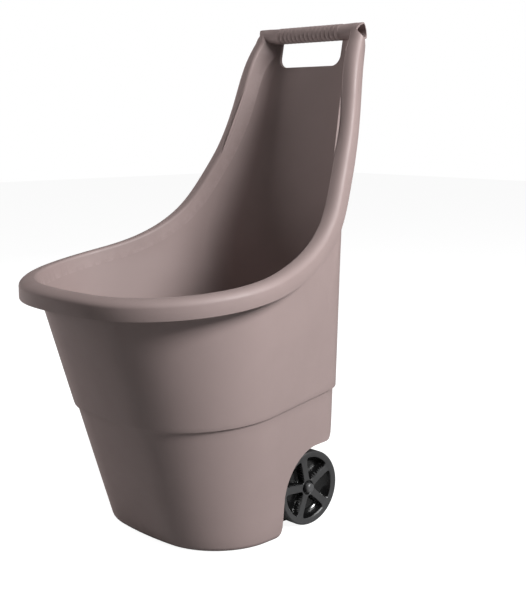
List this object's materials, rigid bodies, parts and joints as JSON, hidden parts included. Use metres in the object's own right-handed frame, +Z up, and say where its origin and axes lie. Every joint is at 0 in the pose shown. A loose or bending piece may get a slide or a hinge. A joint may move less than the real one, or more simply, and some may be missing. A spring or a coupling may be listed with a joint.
{
  "type": "garden cart",
  "caption": "Upright moulded garden cart: a tapered tub with a rolled rim and a tall scooped back that ends in a ribbed handle bar, on two small wheels.",
  "frame": {"origin": "on the floor under the middle of the cart's bounding box", "axes": "+Z up, +Y to the back where the handle is, +X to the right as seen from the front"},
  "size_m": [0.502, 0.5579, 0.84],
  "materials": {
    "tub_plastic": "taupe moulded plastic with a fine matt grain",
    "wheel_plastic": "black moulded plastic, glossy in the recesses",
    "cap_plastic": "dark grey moulded plastic",
    "axle_steel": "zinc plated steel"
  },
  "bodies": {
    "cart": {"tub": "tub_plastic"},
    "axle_set": {"axle": "axle_steel", "washer_inner_left": "axle_steel", "washer_inner_right": "axle_steel", "washer_outer_left": "axle_steel", "washer_outer_right": "axle_steel", "axle_cap_left": "cap_plastic", "axle_cap_right": "cap_plastic"},
    "left_wheel": {"wheel_left": "wheel_plastic"},
    "right_wheel": {"wheel_right": "wheel_plastic"}
  },
  "joints": [
    {"name": "axle_spin", "type": "hinge", "parent": "cart", "child": "axle_set", "pos_m": [0, 0.118, 0.064], "axis": [1, 0, 0], "continuous": true},
    {"name": "left_wheel_spin", "type": "hinge", "parent": "axle_set", "child": "left_wheel", "pos_m": [-0.131, 0.118, 0.064], "axis": [1, 0, 0], "continuous": true},
    {"name": "right_wheel_spin", "type": "hinge", "parent": "axle_set", "child": "right_wheel", "pos_m": [0.131, 0.118, 0.064], "axis": [1, 0, 0], "continuous": true}
  ]
}
